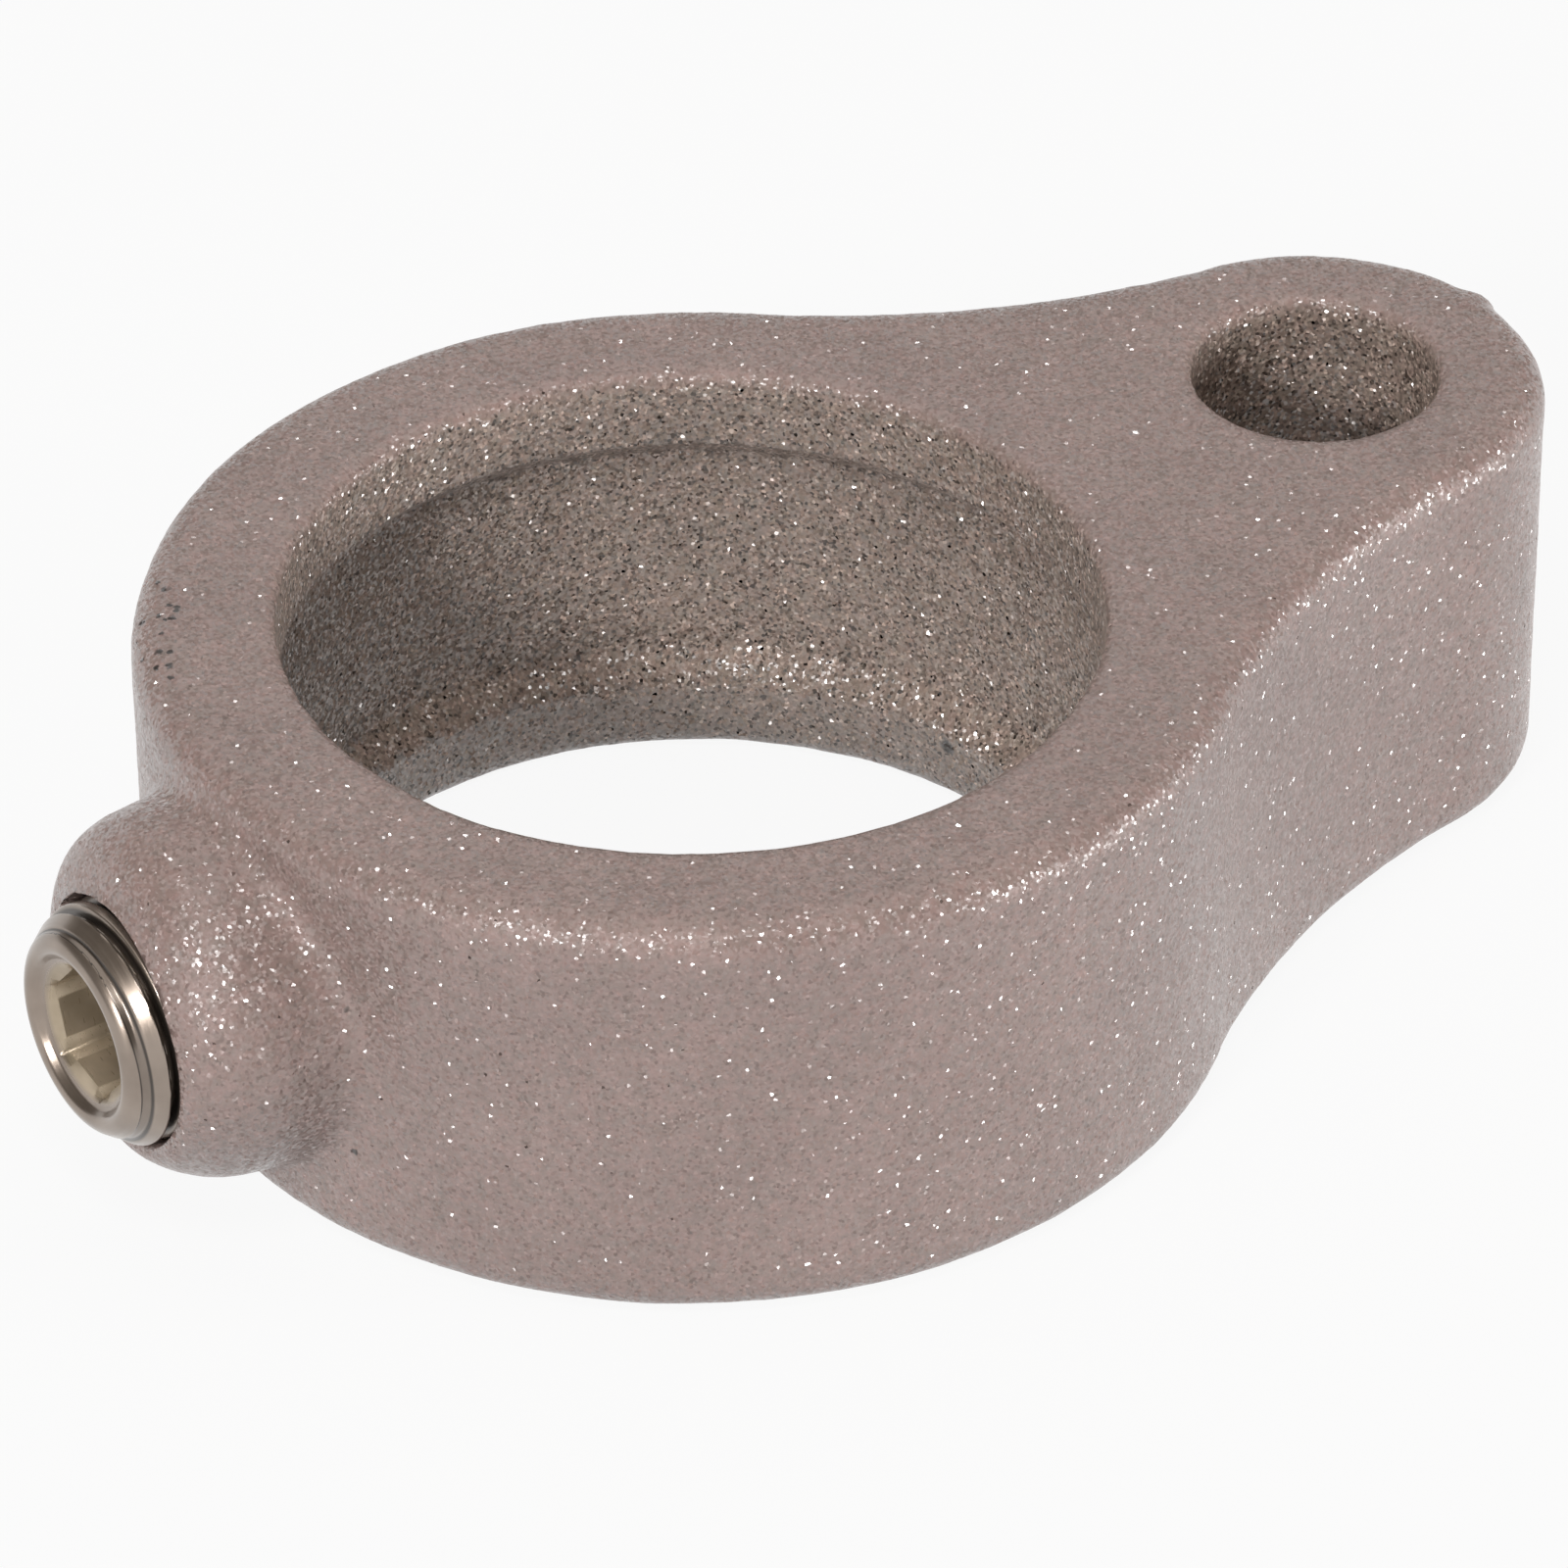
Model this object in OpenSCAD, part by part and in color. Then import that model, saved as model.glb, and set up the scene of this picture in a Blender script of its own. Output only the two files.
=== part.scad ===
// Gate eye pipe clamp: a cast collar that slides on a tube, with a gate eye on one side
// and a set screw on the other. Millimetres; the tube axis is Z, the eye lies towards +X.

/* [Collar] */
// Outside diameter of the tube the collar slides on
tube_diameter = 42.4; // [40:0.1:46]
// Play of the tube in the bore, on the diameter
bore_play = 1; // [0.6:0.1:1.4]
// Wall of the collar at the bore lands
collar_wall = 7.6; // [7.2:0.1:8.4]
// Height of the casting
body_height = 25; // [24:0.1:28]
// Height of each bore land, mouth rounding included
land_height = 4.5; // [3.5:0.1:5.5]
// Depth of the relief between the two lands
relief_depth = 1.55; // [1:0.05:2]
// Rounding of the upper bore mouth
upper_mouth = 0.5; // [0.3:0.1:1.5]
// Rounding of the lower bore mouth
lower_mouth = 1.4; // [0.5:0.1:2]

/* [Eye] */
// Diameter of the hole for the gate pin
eye_bore = 13.2; // [12:0.1:14.5]
// Wall of the eye round its hole
eye_wall = 5.75; // [5:0.05:6.5]
// Metal between the tube bore and the eye hole
eye_web = 12.15; // [11:0.05:14]
// Rounding of the eye hole mouths
eye_mouth = 0.5; // [0.3:0.1:1]
// Radius of the hollow waist between the collar and the eye
waist_radius = 51; // [44:0.5:60]

/* [Casting] */
// Rounding of the upper outside edge
upper_rounding = 1.9; // [1.5:0.1:2.2]
// Rounding of the lower outside edge
lower_rounding = 2.2; // [1.5:0.1:2.2]
// Draft of the outside walls, in degrees
wall_draft = 0.5; // [0.4:0.1:1]
// Width of the trimmed gate stub on the eye
stub_width = 3; // [2:0.1:4]
// Height that the stub stands proud of the eye
stub_proud = 0.6; // [0.3:0.05:0.8]
// Length of the stub along the eye
stub_length = 21.6; // [14:0.1:21.6]
// Place of the stub round the eye, in degrees
stub_turn = 7; // [0:1:30]

/* [Screw boss] */
// Radius of the boss where it leaves the collar
boss_radius = 10.3; // [9.8:0.1:10.4]
// Height of the boss face above the collar
boss_reach = 7; // [6:0.1:8]
// Height of the cast boss's axis above the screw's
boss_rise = 0.15; // [0:0.05:0.3]
// Taper of the boss side, in degrees
boss_draft = 4.5; // [3:0.5:6]
// Rounding of the boss rim
boss_rim = 5.2; // [4:0.1:5.4]
// Radius of the fillet between the boss and the collar
boss_fillet = 3; // [2:0.1:3.4]

/* [Set screw] */
// Outside diameter of the screw thread
thread_diameter = 13.16; // [12.6:0.02:13.6]
// Gap between the screw and its hole, on the radius
thread_gap = 0.08; // [0.03:0.01:0.1]
// Overall length of the screw
screw_length = 15.2; // [14:0.1:16]
// Length of screw that stands out of the boss
screw_proud = 2; // [1.2:0.1:3]
// Size of the hexagon key, across flats
key_size = 6.4; // [5.6:0.1:7]
// Depth of the hexagon socket below the end rim
socket_depth = 6; // [4.5:0.1:7]
// Turn of the socket about the screw axis, in degrees
key_turn = 19; // [0:1:59]
// Rounding of the outer end of the screw
end_rounding = 1.9; // [1.2:0.05:2.2]
// Depth of the dish in the outer end
dish_depth = 1.1; // [0.5:0.05:1.4]
// Flat left round the corners of the socket
socket_margin = 0.25; // [0.1:0.05:0.5]
// Radius of the cup rim that bites the tube
cup_radius = 4; // [3:0.1:5]
// Depth of the cup in the tip
cup_depth = 1.2; // [0.6:0.1:2]

/* [Hidden] */
$fn = 96;
cut = 1;
// The waist arcs run this far into the collar and the eye, so that they cross them
waist_overlap = 0.1;
half = body_height / 2;
bore_r = (tube_diameter + bore_play) / 2;
relief_r = bore_r + relief_depth;
collar_r = bore_r + collar_wall;
eye_hole_r = eye_bore / 2;
eye_r = eye_hole_r + eye_wall;
eye_x = bore_r + eye_web + eye_hole_r;
waist_to_collar = collar_r + waist_radius - waist_overlap;
waist_to_eye = eye_r + waist_radius - waist_overlap;
waist_x = (pow(waist_to_collar, 2) - pow(waist_to_eye, 2) + pow(eye_x, 2)) / (2 * eye_x);
waist_y = sqrt(pow(waist_to_collar, 2) - pow(waist_x, 2));
screw_r = thread_diameter / 2;
screw_hole_r = screw_r + thread_gap;
boss_face = collar_r + boss_reach;
screw_end = boss_face + screw_proud;
screw_tip = screw_end - screw_length;

// Radius at height z of a wall that widens upwards with the draft
function drafted(r, z) = r + z * tan(wall_draft);

// Centre and tangent point of the rounding on a drafted wall; side is 1 for a disc, -1 for a hollow
function round_centre(r, z, q, side) = [drafted(r, side * z) - side * q / cos(wall_draft), z];
function round_start(c, q, side) = c + q * [side * cos(wall_draft), -sin(wall_draft)];

// Turns a piece that was built upright so that its axis points to the screw side
module towards_screw() rotate([0, -90, 0]) children();

// Upright disc with drafted wall and rounded edges
module cast_disc(r) {
    top = round_centre(r, half - upper_rounding, upper_rounding, 1);
    low = round_centre(r, lower_rounding - half, lower_rounding, 1);
    rotate_extrude() {
        polygon([
            [0, -half], [low[0], -half], round_start(low, lower_rounding, 1),
            round_start(top, upper_rounding, 1), [top[0], half], [0, half]
        ]);
        translate(top) circle(upper_rounding);
        translate(low) circle(lower_rounding);
    }
}

// Round cutter that leaves a hollow wall with the same draft and edges as the discs
module hollow_cutter(r) {
    top = round_centre(r, half - upper_rounding, upper_rounding, -1);
    low = round_centre(r, lower_rounding - half, lower_rounding, -1);
    rotate_extrude() difference() {
        polygon([
            [0, -half - cut], [low[0], -half - cut], low, round_start(low, lower_rounding, -1),
            round_start(top, upper_rounding, -1), top, [top[0], half + cut], [0, half + cut]
        ]);
        translate(top) circle(upper_rounding);
        translate(low) circle(lower_rounding);
    }
}

// Metal that joins the collar to the eye, hollow on both flanks
module waist() difference() {
    linear_extrude(body_height, center = true)
        polygon([[0, 0], [waist_x, -waist_y], [eye_x, 0], [waist_x, waist_y]]);
    for (side = [-1, 1]) translate([waist_x, side * waist_y, 0]) hollow_cutter(waist_radius);
}

// Half-round stub where the metal ran into the mould, trimmed off after casting
module gate_stub() {
    r = stub_width / 2;
    translate([eye_x, 0, 0]) rotate(stub_turn) translate([eye_r + stub_proud - r, 0, 0]) {
        cylinder(r = r, h = stub_length, center = true);
        for (side = [-1, 1]) translate([0, 0, side * stub_length / 2]) sphere(r);
    }
}

// Tapered boss with a rounded rim and a fillet that runs out on the collar
module boss() {
    slope = tan(boss_draft);
    side_start = boss_radius + collar_r * slope;
    reach = collar_r + boss_fillet - waist_overlap;
    fillet_side = side_start + boss_fillet / cos(boss_draft);
    fillet_t = (fillet_side * slope + sqrt(pow(reach, 2) * (1 + pow(slope, 2)) - pow(fillet_side, 2)))
        / (1 + pow(slope, 2));
    fillet = [fillet_side - slope * fillet_t, fillet_t];
    rim_t = boss_face - boss_rim;
    rim = [side_start - slope * rim_t - boss_rim / cos(boss_draft), rim_t];
    away = [cos(boss_draft), sin(boss_draft)];
    translate([0, 0, boss_rise]) towards_screw() rotate_extrude() {
        difference() {
            polygon([
                [0, bore_r], fillet * (1 - boss_fillet / reach), fillet, fillet - boss_fillet * away,
                rim + boss_rim * away, [rim[0], boss_face], [0, boss_face]
            ]);
            translate(fillet) circle(boss_fillet);
        }
        intersection() {
            translate(rim) circle(boss_rim);
            translate([rim[0], rim_t - boss_rim]) square(2 * boss_rim);
        }
    }
}

// Hole with a rounded mouth at each end
module round_mouths(r, upper, lower) rotate_extrude() difference() {
    polygon([
        [0, -half - cut], [r + lower, -half - cut], [r + lower, lower - half], [r, lower - half],
        [r, half - upper], [r + upper, half - upper], [r + upper, half + cut], [0, half + cut]
    ]);
    translate([r + lower, lower - half]) circle(lower);
    translate([r + upper, half - upper]) circle(upper);
}

// Shallow groove between the bore lands, with sloping flanks
module relief() rotate_extrude()
    polygon([
        [0, land_height - half], [bore_r, land_height - half],
        [relief_r, land_height + relief_depth - half], [relief_r, half - land_height - relief_depth],
        [bore_r, half - land_height], [0, half - land_height]
    ]);

// Cast iron body: collar, eye, waist and screw boss in one piece
module clamp_body() color("dimgray") difference() {
    union() {
        cast_disc(collar_r);
        translate([eye_x, 0, 0]) cast_disc(eye_r);
        waist();
        boss();
        gate_stub();
    }
    round_mouths(bore_r, upper_mouth, lower_mouth);
    relief();
    translate([eye_x, 0, 0]) round_mouths(eye_hole_r, eye_mouth, eye_mouth);
    towards_screw() cylinder(r = screw_hole_r, h = boss_face + cut);
}

// Steel set screw: dished outer end with a hexagon socket, cup point inside
module set_screw() color("silver") towards_screw() difference() {
    rim = [screw_r - end_rounding, screw_end - end_rounding];
    dish_r = key_size / sqrt(3) + socket_margin;
    tip_bevel = (screw_r - cup_radius) / 2;
    rotate_extrude() {
        polygon([
            [0, screw_tip + cup_depth], [cup_radius, screw_tip], [screw_r, screw_tip + tip_bevel],
            [screw_r, rim[1]], [rim[0], rim[1]], [rim[0], screw_end],
            [dish_r, screw_end - dish_depth], [0, screw_end - dish_depth]
        ]);
        intersection() {
            translate(rim) circle(end_rounding);
            translate(rim) square(end_rounding);
        }
    }
    translate([0, 0, screw_end - socket_depth])
        rotate(key_turn) cylinder(d = key_size / cos(30), h = socket_depth, $fn = 6);
}

clamp_body();
set_screw();
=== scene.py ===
import math

import bmesh
import bpy
from mathutils import Matrix, Vector, noise


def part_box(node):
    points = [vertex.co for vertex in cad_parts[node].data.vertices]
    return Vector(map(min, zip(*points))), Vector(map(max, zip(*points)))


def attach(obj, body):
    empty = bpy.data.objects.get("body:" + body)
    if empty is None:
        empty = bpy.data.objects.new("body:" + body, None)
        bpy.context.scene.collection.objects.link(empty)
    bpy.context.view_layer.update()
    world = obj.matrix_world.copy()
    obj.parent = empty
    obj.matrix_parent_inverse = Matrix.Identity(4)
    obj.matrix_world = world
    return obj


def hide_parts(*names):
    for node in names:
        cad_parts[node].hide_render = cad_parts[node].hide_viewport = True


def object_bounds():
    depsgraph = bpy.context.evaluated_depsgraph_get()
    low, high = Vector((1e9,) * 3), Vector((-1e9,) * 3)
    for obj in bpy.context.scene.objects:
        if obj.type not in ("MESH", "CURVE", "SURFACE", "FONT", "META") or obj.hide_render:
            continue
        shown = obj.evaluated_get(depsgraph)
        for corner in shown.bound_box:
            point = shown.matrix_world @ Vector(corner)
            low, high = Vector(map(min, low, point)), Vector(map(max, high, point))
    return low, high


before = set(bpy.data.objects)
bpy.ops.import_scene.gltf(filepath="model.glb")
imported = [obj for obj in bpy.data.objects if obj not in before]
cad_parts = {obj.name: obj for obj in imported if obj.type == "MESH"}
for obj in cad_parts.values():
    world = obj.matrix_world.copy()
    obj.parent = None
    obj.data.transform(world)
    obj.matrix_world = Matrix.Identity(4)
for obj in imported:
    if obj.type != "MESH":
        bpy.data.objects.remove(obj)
cad_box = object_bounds()
scene = bpy.context.scene


# Casting
# One iron casting holds the collar, the gate eye, the waist between them and the screw boss.
# It was poured in a sand mould, broken out, trimmed at the gate and shot-blasted all over, so
# its skin is a little uneven, pitted here and there, and covered in a fine sparkling grain.

skin_step, skin_soften = 0.00045, 5
swell_size, swell_depth = 0.0075, 0.00011
dimple_size, dimple_depth = 0.0021, 0.00006
peen_size, peen_depth = 0.0010, 0.00005
wall_lift = 0.00014
bore_radius, relief_radius = 0.0217, 0.02325
land_edge, relief_edge, land_top = 0.0080, 0.00645, 0.0110
eye_centre, eye_radius = Vector((0.04045, 0, 0)), 0.0066
mouth_face, hole_wall, mouth_wall = -0.03597, 0.00672, 0.00698
hole_start, rim_margin, rim_depth, rim_facing = -0.0225, 0.0003, 0.0005, -0.3
mouth_start, mouth_length = 0.0009, 0.0008
ragged_depth, ragged_rate = 0.00012, 2.5
bore_margin, wall_margin = 0.0006, 0.001
face_lean_y, face_lean_z = 0.050, 0.045
lean_start, lean_length, lean_reach, lean_fade = -0.0320, 0.0036, 0.0100, 0.0022
bead, bead_radius, bead_height = Vector((-0.03595, -0.00700, -0.0008)), 0.00055, 0.00028

casting = bpy.data.objects.new("casting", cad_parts["clamp_body"].data.copy())
scene.collection.objects.link(casting)
shell = bmesh.new()
shell.from_mesh(casting.data)
bmesh.ops.remove_doubles(shell, verts=shell.verts, dist=1e-6)
shell.to_mesh(casting.data)
shell.free()

skin = casting.modifiers.new("skin", "REMESH")
skin.mode = "VOXEL"
skin.voxel_size = skin_step
soften = casting.modifiers.new("soften", "SMOOTH")
soften.factor = 0.5
soften.iterations = skin_soften
bpy.context.view_layer.update()
softened = casting.evaluated_get(bpy.context.evaluated_depsgraph_get())
cast_mesh = bpy.data.meshes.new_from_object(softened)
casting.modifiers.clear()
casting.data = cast_mesh


def sunk(place):
    """Depth of the uneven skin below the mould's highest spots."""
    swell = 0.5 + 0.5 * noise.noise(place / swell_size)
    dimple = 0.5 + 0.5 * noise.noise(place / dimple_size + Vector((7, 3, 5)))
    peen = 0.5 + 0.5 * noise.noise(place / peen_size + Vector((2, 9, 4)))
    return swell * swell_depth + dimple * dimple_depth + peen * peen_depth


# The bore keeps crisp edges between its two lands and the relief. The screw's hole has a ragged
# mouth in a face that leans a little, and a bead of metal stands beside it.
cast_low, cast_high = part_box("clamp_body")
shell = bmesh.new()
shell.from_mesh(cast_mesh)
shell.normal_update()
for vert in shell.verts:
    spot = vert.co.copy()
    depth = sunk(spot)
    reach = math.hypot(spot.x, spot.y)
    across = math.hypot(spot.y, spot.z)
    in_hole = spot.x < hole_start and across < mouth_wall + rim_margin
    if reach < relief_radius + bore_margin and abs(spot.z) < land_top and not in_hole:
        level = abs(spot.z)
        for edge in (land_edge, relief_edge):
            if abs(level - edge) < skin_step / 2:
                level = edge
        slope = min(1.0, max(0.0, (land_edge - level) / (land_edge - relief_edge)))
        wall = bore_radius + (relief_radius - bore_radius) * slope + depth
        vert.co = (spot.x * wall / reach, spot.y * wall / reach, math.copysign(level, spot.z))
    elif in_hole:
        ragged = ragged_depth * noise.noise(Vector((math.atan2(spot.y, spot.z) * ragged_rate, 4, 1)))
        opening = max(0.0, min(1.0, (mouth_face + mouth_start - spot.x) / mouth_length))
        wall = hole_wall + (mouth_wall + ragged - hole_wall) * opening
        at_mouth = spot.x < mouth_face + rim_depth and vert.normal.x < rim_facing
        if across < wall + rim_margin * at_mouth:
            along = mouth_face if at_mouth else spot.x
            vert.co = (along, spot.y * wall / across, spot.z * wall / across)
    else:
        if reach > relief_radius + wall_margin and (spot - eye_centre).xy.length > eye_radius + wall_margin:
            depth -= wall_lift * (1 - vert.normal.z ** 2)
        depth -= bead_height * max(0.0, 1 - ((spot - bead).length / bead_radius) ** 2)
        vert.co = spot - vert.normal * depth
    if spot.x < lean_start and across < lean_reach:
        share = min(1.0, (lean_start - spot.x) / lean_length) * min(1.0, (lean_reach - across) / lean_fade)
        vert.co.x += share * (face_lean_y * spot.y + face_lean_z * spot.z)
    for axis in range(3):
        vert.co[axis] = min(cast_high[axis], max(cast_low[axis], vert.co[axis]))
for face in shell.faces:
    face.smooth = True
shell.to_mesh(cast_mesh)
shell.free()


def wire(tree, kind, inputs=None, **settings):
    """A new shader node with its settings, and with its inputs set or linked."""
    made = tree.nodes.new(kind)
    for name, value in settings.items():
        setattr(made, name, value)
    for name, value in (inputs or {}).items():
        if isinstance(value, bpy.types.NodeSocket):
            tree.links.new(value, made.inputs[name])
        else:
            made.inputs[name].default_value = value
    return made


def ramp(tree, factor, stops):
    """A colour ramp over a factor; stops are pairs of place and colour or grey."""
    made = wire(tree, "ShaderNodeValToRGB", {"Fac": factor})
    while len(made.color_ramp.elements) < len(stops):
        made.color_ramp.elements.new(0.5)
    for element, (place, tone) in zip(made.color_ramp.elements, stops):
        element.position = place
        element.color = (tone, tone, tone, 1) if isinstance(tone, float) else (*tone, 1)
    return made.outputs["Color"]


blasted_iron = bpy.data.materials.new("blasted_iron")
blasted_iron.use_nodes = True
tree = blasted_iron.node_tree
iron = tree.nodes["Principled BSDF"]
place = wire(tree, "ShaderNodeTexCoord").outputs["Object"]

# Inside the two bores the shot struck less evenly, so the skin there is rougher, with steeper facets and
# stronger grain.
height = wire(tree, "ShaderNodeSeparateXYZ", {"Vector": place}).outputs["Z"]
level = wire(tree, "ShaderNodeMath", {0: height}, operation="ABSOLUTE").outputs[0]
below_rim = wire(tree, "ShaderNodeMapRange", {
    "Value": level, "From Min": 0.0114, "From Max": 0.0123, "To Min": 1.0, "To Max": 0.0,
}).outputs["Result"]
bores = []
for bore_centre, bore_wall in (((0.0, 0.0, 0.0), 0.0240), (tuple(-eye_centre), 0.0072)):
    apart = wire(tree, "ShaderNodeVectorMath", {0: place, 1: bore_centre}, operation="ADD").outputs[0]
    flat = wire(tree, "ShaderNodeVectorMath", {
        0: apart, 1: (1.0, 1.0, 0.0),
    }, operation="MULTIPLY").outputs[0]
    reach = wire(tree, "ShaderNodeVectorMath", {0: flat}, operation="LENGTH").outputs["Value"]
    bores.append(wire(tree, "ShaderNodeMath", {0: reach, 1: bore_wall}, operation="LESS_THAN").outputs[0])
either = wire(tree, "ShaderNodeMath", {0: bores[0], 1: bores[1]}, operation="MAXIMUM").outputs[0]
in_bore = wire(tree, "ShaderNodeMath", {0: either, 1: below_rim}, operation="MULTIPLY").outputs[0]

# The blasted facets are about a sixth of a millimetre wide, and each is tilted its own way. The gloss
# on the steeper ones makes the sparkle, and the darker ones and the small dents make the grain.
facets = wire(tree, "ShaderNodeTexVoronoi", {"Vector": place, "Scale": 6000.0, "Randomness": 1.0})
lot = wire(tree, "ShaderNodeTexWhiteNoise", {"Vector": facets.outputs["Position"]}).outputs["Value"]
lean = wire(tree, "ShaderNodeVectorMath", {
    0: facets.outputs["Color"], 1: (0.5, 0.5, 0.5),
}, operation="SUBTRACT").outputs[0]
spread = ramp(tree, lot, [(0.0, 0.30), (0.50, 0.55), (0.80, 1.0), (1.0, 1.9)])
lean = wire(tree, "ShaderNodeVectorMath", {0: lean, 1: spread}, operation="MULTIPLY").outputs[0]
normal = wire(tree, "ShaderNodeNewGeometry").outputs["Normal"]


def leaning(least, most):
    """The facets' normals, tilted by least outside the bores and by most inside them."""
    size = wire(tree, "ShaderNodeMapRange", {
        "Value": in_bore, "To Min": least, "To Max": most,
    }).outputs["Result"]
    tilt = wire(tree, "ShaderNodeVectorMath", {0: lean, "Scale": size}, operation="SCALE").outputs[0]
    tilted = wire(tree, "ShaderNodeVectorMath", {0: normal, 1: tilt}, operation="ADD").outputs[0]
    return wire(tree, "ShaderNodeVectorMath", {0: tilted}, operation="NORMALIZE").outputs[0]


dents = wire(tree, "ShaderNodeTexNoise", {"Vector": place, "Scale": 2600.0, "Detail": 1.0, "Roughness": 0.5})
grit = wire(tree, "ShaderNodeBump", {
    "Strength": 1.0, "Distance": 0.00005, "Height": dents.outputs["Fac"], "Normal": leaning(0.50, 1.50),
})
tree.links.new(grit.outputs["Normal"], iron.inputs["Normal"])
tree.links.new(leaning(1.25, 1.6), iron.inputs["Coat Normal"])
tree.links.new(ramp(tree, lot, [(0.0, 0.3), (0.25, 0.7), (1.0, 1.0)]), iron.inputs["Coat Weight"])
iron.inputs["Coat Roughness"].default_value = 0.21
iron.inputs["Coat IOR"].default_value = 1.8

# Small pits left by sand grains, most of them in a group on the collar's upper edge, in millimetres
# The pits are not modelled: each is painted shade, a dark spot in the colour.
blur = wire(tree, "ShaderNodeTexNoise", {"Vector": place, "Scale": 2400.0, "Detail": 1.0}).outputs["Color"]
blur = wire(tree, "ShaderNodeVectorMath", {0: blur, 1: (0.5, 0.5, 0.5)}, operation="SUBTRACT").outputs[0]
blur = wire(tree, "ShaderNodeVectorMath", {0: blur, "Scale": 0.0005}, operation="SCALE").outputs[0]
near = wire(tree, "ShaderNodeVectorMath", {0: place, 1: blur}, operation="ADD").outputs[0]
pit_shade = None
for x, y, z, size in (
    (-22.06, 16.73, 12.45, 0.26), (-22.06, 17.62, 12.30, 0.19), (-22.50, 14.90, 12.44, 0.24),
    (-22.65, 14.60, 12.44, 0.19), (-22.78, 15.28, 12.44, 0.20), (-23.61, 14.86, 12.38, 0.20),
    (-23.58, 14.39, 12.42, 0.20), (-23.23, 14.17, 12.44, 0.21), (-24.38, 15.30, 11.88, 0.24),
    (-24.37, 13.39, 12.40, 0.18), (-25.36, 12.05, 12.34, 0.22), (-24.89, 11.65, 12.44, 0.19),
    (-26.04, 12.53, 11.76, 0.20), (-25.72, 10.60, 12.41, 0.28), (-26.17, 11.03, 12.20, 0.20),
    (-26.08, 9.64, 12.42, 0.19), (20.78, 6.36, -8.78, 0.42), (-27.80, -10.02, 3.70, 0.25),
    (-27.45, -9.88, -5.69, 0.22),
):
    away = wire(tree, "ShaderNodeVectorMath", {
        0: near, 1: (x / 1000, y / 1000, z / 1000),
    }, operation="DISTANCE").outputs["Value"]
    clear = wire(tree, "ShaderNodeMapRange", {
        "Value": away, "From Min": size * 0.0007, "From Max": size * 0.0012, "To Min": 0.12, "To Max": 1.0,
    }).outputs["Result"]
    if pit_shade:
        clear = wire(tree, "ShaderNodeMath", {0: pit_shade, 1: clear}, operation="MINIMUM").outputs[0]
    pit_shade = clear

cloud = wire(tree, "ShaderNodeTexNoise", {"Vector": place, "Scale": 130.0, "Detail": 3.0, "Roughness": 0.55})
mottle = wire(tree, "ShaderNodeTexNoise", {"Vector": place, "Scale": 1400.0, "Detail": 2.0, "Roughness": 0.6})
ground = ramp(tree, cloud.outputs["Fac"], [(0.30, (0.272, 0.195, 0.176)), (0.70, (0.312, 0.224, 0.202))])
tint = ramp(tree, mottle.outputs["Fac"], [(0.30, (0.88, 0.92, 0.90)), (0.70, (1.09, 1.03, 1.03))])
grain = ramp(tree, lot, [(0.0, 0.70), (0.06, 0.82), (0.14, 0.95), (0.60, 1.0), (0.90, 1.06), (1.0, 1.16)])
bore_grain = wire(tree, "ShaderNodeMapRange", {
    "Value": in_bore, "To Min": 1.0, "To Max": 5.0,
}).outputs["Result"]
grain = wire(tree, "ShaderNodeMath", {0: grain, 1: bore_grain}, operation="POWER").outputs[0]
# Painted light: the bores' inner walls are coloured lighter, as well as greener, than the outside.
bore_light_and_tint = ramp(tree, in_bore, [(0.0, (1.0, 1.0, 1.0)), (1.0, (1.16, 1.25, 1.17))])
colour = ground
for layer in (tint, grain, bore_light_and_tint, pit_shade):
    colour = wire(tree, "ShaderNodeMix", {
        "Factor": 1.0, "A": colour, "B": layer,
    }, data_type="RGBA", blend_type="MULTIPLY").outputs["Result"]
tree.links.new(colour, iron.inputs["Base Color"])
iron.inputs["Roughness"].default_value = 0.45
iron.inputs["Metallic"].default_value = 0.06
iron.inputs["Specular IOR Level"].default_value = 0.35

casting.data.materials.clear()
casting.data.materials.append(blasted_iron)
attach(casting, "clamp_body")
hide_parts("clamp_body")


# Set screw
# A grub screw turned from steel bar, threaded over its whole length and bright plated. Its outer
# end is dished and holds a hexagon socket, and its inner end has a cup that bites the tube.

screw_low, screw_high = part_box("set_screw")
screw_end, screw_tip, screw_radius = screw_low.x, screw_high.x, screw_high.z
lip_round, lip_from, lip_turn = 0.0010, math.radians(30), math.radians(72)
lip_radius = 0.00472
crest_round, crest_turn = 0.00055, math.radians(73)
foot_round = 0.0004
dish_floor = screw_end + 0.0011
key_across, key_depth, key_turn = 0.0064, 0.0060, math.radians(19)
drill_share, drill_depth = 0.8, 0.0009
cup_radius, cup_depth = 0.0040, 0.0012
pitch, thread_start, run_out, fade_in = 0.001337, 0.03705, 0.75, 0.0030
floor_width, floor_loss, flank_width, flank_gain = 0.26, 0.22, 0.20, 0.45
first_bite, least_bite, bite_rate, plain_end = 0.3, 0.00016, 0.5, 0.0015
columns, shank_rings = 144, 250

key_corner = key_across / math.sqrt(3)
lip_centre = Vector((screw_end + lip_round, 0, lip_radius))
lip_start = lip_centre + lip_round * Vector((-math.sin(lip_from), 0, math.cos(lip_from)))
leave = Vector((-math.sin(lip_turn), 0, math.cos(lip_turn)))
crest_centre = lip_centre + leave * (lip_round - crest_round)
outline = [
    (screw_tip - cup_depth, 0.0),
    (screw_tip, cup_radius),
    (screw_tip - (screw_radius - cup_radius) / 2, screw_radius),
    (lip_start.x, screw_radius),
    (lip_start.x, lip_start.z),
]
inside = [
    (dish_floor, key_corner),
    (screw_end + key_depth, key_corner),
    (screw_end + key_depth, key_corner * drill_share),
    (screw_end + key_depth + drill_depth, 0.0),
]
blank = bmesh.new()
points = [blank.verts.new((x, 0, r)) for x, r in outline]
for first, second in zip(points, points[1:]):
    blank.edges.new((first, second))
shank_edge = points[2].link_edges[-1]
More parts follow.
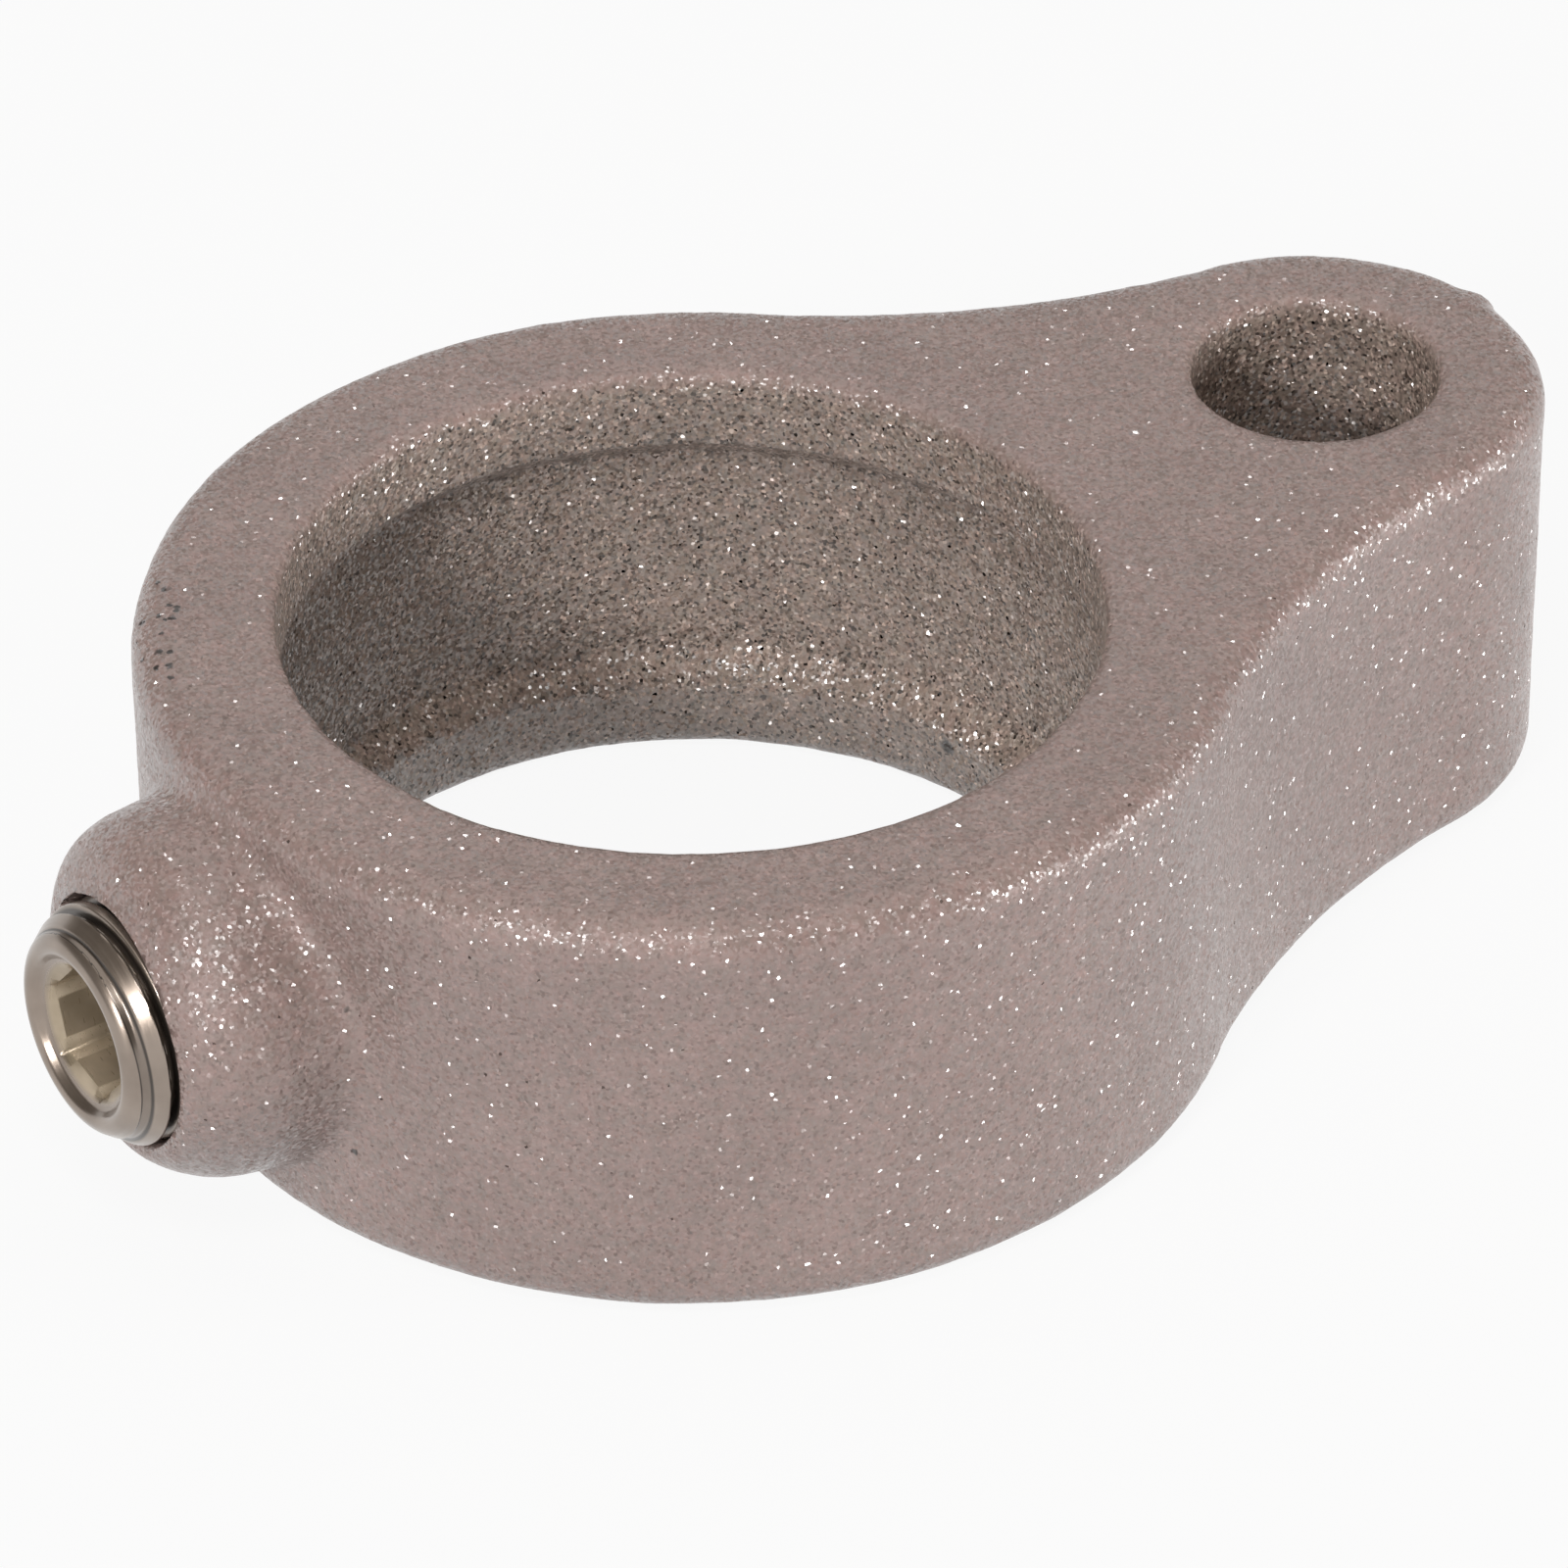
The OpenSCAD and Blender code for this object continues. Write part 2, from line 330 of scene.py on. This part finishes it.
lip = bmesh.ops.spin(
    blank, geom=[points[-1]], cent=lip_centre, axis=(0, 1, 0), angle=lip_from - lip_turn, steps=12,
)
crest = bmesh.ops.spin(
    blank, geom=lip["geom_last"], cent=crest_centre, axis=(0, 1, 0), angle=-crest_turn, steps=14,
)
last = crest["geom_last"][0]
slide = lip_turn + crest_turn
inward = Vector((-math.sin(slide), 0, math.cos(slide)))
along = Vector((math.cos(slide), 0, math.sin(slide)))
drop = (dish_floor - foot_round + inward.x * foot_round - last.co.x) / -along.x
foot = blank.verts.new(last.co - along * drop)
blank.edges.new((last, foot))
fillet = bmesh.ops.spin(
    blank, geom=[foot], cent=foot.co + inward * foot_round, axis=(0, 1, 0),
    angle=slide - math.pi / 2, steps=8,
)
last = fillet["geom_last"][0]
for x, r in inside:
    point = blank.verts.new((x, 0, r))
    blank.edges.new((last, point))
    last = point
blank.edges.ensure_lookup_table()
bmesh.ops.subdivide_edges(blank, edges=[shank_edge], cuts=shank_rings)
bmesh.ops.rotate(blank, verts=blank.verts, cent=(0, 0, 0), matrix=Matrix.Rotation(-key_turn, 3, "X"))
bmesh.ops.spin(
    blank, geom=blank.verts[:] + blank.edges[:], cent=(0, 0, 0), axis=(1, 0, 0),
    angle=math.tau, steps=columns, use_merge=True,
)
bmesh.ops.remove_doubles(blank, verts=blank.verts, dist=1e-6)
bmesh.ops.recalc_face_normals(blank, faces=blank.faces)
groove = blank.verts.layers.float.new("groove")
for vert in blank.verts:
    across = math.hypot(vert.co.y, vert.co.z)
    turn = math.atan2(vert.co.y, vert.co.z)
    wanted = across
    if across > screw_radius - 1e-5 and vert.co.x < screw_tip - plain_end:
        wave = (-vert.co.x - thread_start) / pitch - turn / math.tau
        flank = abs(2 * (wave - math.floor(wave)) - 1)
        past = vert.co.x - lip_start.x
        full = min(1.0, past / fade_in)
        slope = (flank - floor_width + floor_loss * full) / (flank_width + flank_gain * full)
        flank = min(1.0, max(0.0, slope))
        bite = 1 - flank * flank * (3 - 2 * flank)
        climb = max(0.0, lip_centre.x - vert.co.x)
        root = lip_radius + math.sqrt(lip_round ** 2 - climb ** 2)
        ridge = min(screw_radius, lip_start.z + run_out * past)
        deep = max((ridge - root) * min(1.0, first_bite + full), min(least_bite, bite_rate * past))
        wanted = ridge - deep * bite
        vert[groove] = bite
    elif abs(across - key_corner) < 1e-6 and vert.co.x < 0:
        side = (turn - key_turn) % math.radians(60) - math.radians(30)
        wanted = key_across / 2 / math.cos(side)
    if across > 0:
        vert.co.y *= wanted / across
        vert.co.z *= wanted / across
bmesh.ops.remove_doubles(blank, verts=blank.verts, dist=1e-6)
for face in blank.faces:
    face.smooth = True
screw_mesh = bpy.data.meshes.new("set_screw_skin")
blank.to_mesh(screw_mesh)
blank.free()
screw_mesh.set_sharp_from_angle(angle=math.radians(50))
screw = bpy.data.objects.new("grub_screw", screw_mesh)
scene.collection.objects.link(screw)

bright_plating = bpy.data.materials.new("bright_plating")
bright_plating.use_nodes = True
tree = bright_plating.node_tree
steel = tree.nodes["Principled BSDF"]
place = wire(tree, "ShaderNodeTexCoord").outputs["Object"]
split = wire(tree, "ShaderNodeSeparateXYZ", {"Vector": place})
square = wire(tree, "ShaderNodeVectorMath", {0: place, 1: (0.0, 1.0, 1.0)}, operation="MULTIPLY")
radius = wire(tree, "ShaderNodeVectorMath", {0: square.outputs[0]}, operation="LENGTH").outputs["Value"]
in_socket = wire(tree, "ShaderNodeMapRange", {
    "Value": radius, "From Min": 0.00372, "From Max": 0.0040, "To Min": 1.0, "To Max": 0.0,
}).outputs["Result"]
film = wire(tree, "ShaderNodeTexNoise", {"Vector": place, "Scale": 420.0, "Detail": 3.0}).outputs["Fac"]
plate = ramp(tree, film, [(0.3, (0.27, 0.218, 0.180)), (0.7, (0.34, 0.278, 0.232))])
# The socket has a duller brownish finish, coloured lighter than the plating: the lighter tone is painted
# light in the socket.
socket_tone_and_light = ramp(tree, film, [(0.3, (0.30, 0.24, 0.165)), (0.7, (0.50, 0.41, 0.30))])
shade = wire(tree, "ShaderNodeMix", {"Factor": in_socket, "A": plate, "B": socket_tone_and_light}, data_type="RGBA")
sunk_in = wire(tree, "ShaderNodeAttribute", attribute_name="groove").outputs["Fac"]
# Painted shade in the thread: the grooves' flanks are darkened strongly, and their roots less.
groove_shade = ramp(tree, sunk_in, [(0.0, 1.0), (0.10, 1.0), (0.40, 0.20), (0.75, 0.20), (0.98, 0.75)])
shade = wire(tree, "ShaderNodeMix", {
    "Factor": 1.0, "A": shade.outputs["Result"], "B": groove_shade,
}, data_type="RGBA", blend_type="MULTIPLY")
tree.links.new(shade.outputs["Result"], steel.inputs["Base Color"])
turning = wire(tree, "ShaderNodeCombineXYZ", {"X": split.outputs["X"], "Y": radius}).outputs[0]
lathe = wire(tree, "ShaderNodeTexNoise", {"Vector": turning, "Scale": 6000.0, "Detail": 2.0}).outputs["Fac"]
tree.links.new(ramp(tree, lathe, [(0.3, 0.26), (0.7, 0.36)]), steel.inputs["Roughness"])
marks = wire(tree, "ShaderNodeBump", {"Strength": 0.12, "Distance": 0.00003, "Height": lathe})
tree.links.new(marks.outputs["Normal"], steel.inputs["Normal"])
tree.links.new(ramp(tree, in_socket, [(0.0, 0.85), (1.0, 0.45)]), steel.inputs["Metallic"])
tree.links.new(ramp(tree, in_socket, [(0.0, 0.6), (1.0, 0.1)]), steel.inputs["Coat Weight"])
steel.inputs["Coat Roughness"].default_value = 0.14

screw.data.materials.append(bright_plating)
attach(screw, "set_screw")
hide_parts("set_screw")


# Floor and studio
# The part lies on a wide pale sheet, with white all round it and a darker ceiling. One lamp near
# the camera draws the highlights and the sparkle, and three more light the top, side and back.

sheet_radius, sheet_grey, white_share, white_strength = 6, 0.30, 0.85, 1.08

floor_mesh = bpy.data.meshes.new("floor")
sheet = bmesh.new()
bmesh.ops.create_circle(
    sheet, cap_ends=True, radius=sheet_radius, segments=64,
    matrix=Matrix.Translation((0, 0, cad_box[0][2])),
)
sheet.to_mesh(floor_mesh)
sheet.free()
floor = bpy.data.objects.new("floor", floor_mesh)
scene.collection.objects.link(floor)
pale_sheet = bpy.data.materials.new("pale_sheet")
pale_sheet.use_nodes = True
tree = pale_sheet.node_tree
paper = tree.nodes["Principled BSDF"]
paper.inputs["Base Color"].default_value = (sheet_grey, sheet_grey, sheet_grey, 1)
paper.inputs["Roughness"].default_value = 0.9
path = wire(tree, "ShaderNodeLightPath")
seen = path.outputs["Is Camera Ray"]
for ray in ("Is Glossy Ray", "Is Transmission Ray"):
    seen = wire(tree, "ShaderNodeMath", {0: seen, 1: path.outputs[ray]}, operation="MAXIMUM").outputs[0]
whitened = wire(tree, "ShaderNodeMath", {0: seen, 1: white_share}, operation="MULTIPLY")
white = wire(tree, "ShaderNodeEmission", {"Color": (1, 1, 1, 1), "Strength": white_strength})
blend = wire(tree, "ShaderNodeMixShader", {0: whitened.outputs[0], 1: paper.outputs[0], 2: white.outputs[0]})
tree.links.new(blend.outputs[0], tree.nodes["Material Output"].inputs["Surface"])
floor.data.materials.append(pale_sheet)

surround = bpy.data.worlds.new("surround")
scene.world = surround
surround.use_nodes = True
tree = surround.node_tree
# White all round the horizon, so that the sheet has no visible end, and dark overhead
heading = wire(tree, "ShaderNodeTexCoord").outputs["Generated"]
rise = wire(tree, "ShaderNodeSeparateXYZ", {"Vector": heading}).outputs["Z"]
tree.links.new(ramp(tree, rise, [
    (0.0, 1.0), (0.10, 1.0),
    (0.20, (0.06, 0.05, 0.04)), (0.70, (0.07, 0.06, 0.045)), (1.0, (0.20, 0.18, 0.15)),
]), tree.nodes["Background"].inputs["Color"])

for name, lamp_azimuth, lamp_elevation, away, across, watts in (
    ("flash_lamp", 209, 28, 1.0, 0.18, 5.4),
    ("upper_lamp", 232, 60, 1.0, 0.30, 3.2),
    ("side_lamp", 318, 7, 0.8, 0.20, 3.4),
    ("back_lamp", 60, 62, 0.9, 1.30, 3.2),
):
    lamp = bpy.data.lights.new(name, "AREA")
    lamp.shape = "DISK"
    lamp.size = across
    lamp.energy = watts
    lamp_object = bpy.data.objects.new(name, lamp)
    turn, rise = math.radians(lamp_azimuth), math.radians(lamp_elevation)
    lamp_object.location = away * Vector((
        math.cos(turn) * math.cos(rise), math.sin(turn) * math.cos(rise), math.sin(rise),
    ))
    lamp_object.rotation_euler = (-lamp_object.location).to_track_quat("-Z", "Y").to_euler()
    scene.collection.objects.link(lamp_object)


# Camera
# A long lens looks down on the part from the front left, as in the photograph.

azimuth, elevation, roll = math.radians(-33.063), math.radians(35.629), math.radians(-0.184)
distance = 0.61605
aim = Vector((0.00428, -0.00234, 0.00052))
lens = bpy.data.cameras.new("camera")
lens.sensor_width = 36
lens.lens = 266.15
lens.clip_start, lens.clip_end = 0.01, 10
camera = bpy.data.objects.new("camera", lens)
camera.location = distance * Vector((
    math.sin(azimuth) * math.cos(elevation), -math.cos(azimuth) * math.cos(elevation), math.sin(elevation),
))
look = (aim - camera.location).to_track_quat("-Z", "Y").to_matrix() @ Matrix.Rotation(roll, 3, "Z")
camera.rotation_euler = look.to_euler()
scene.collection.objects.link(camera)
scene.camera = camera

scene.view_settings.view_transform = "Standard"
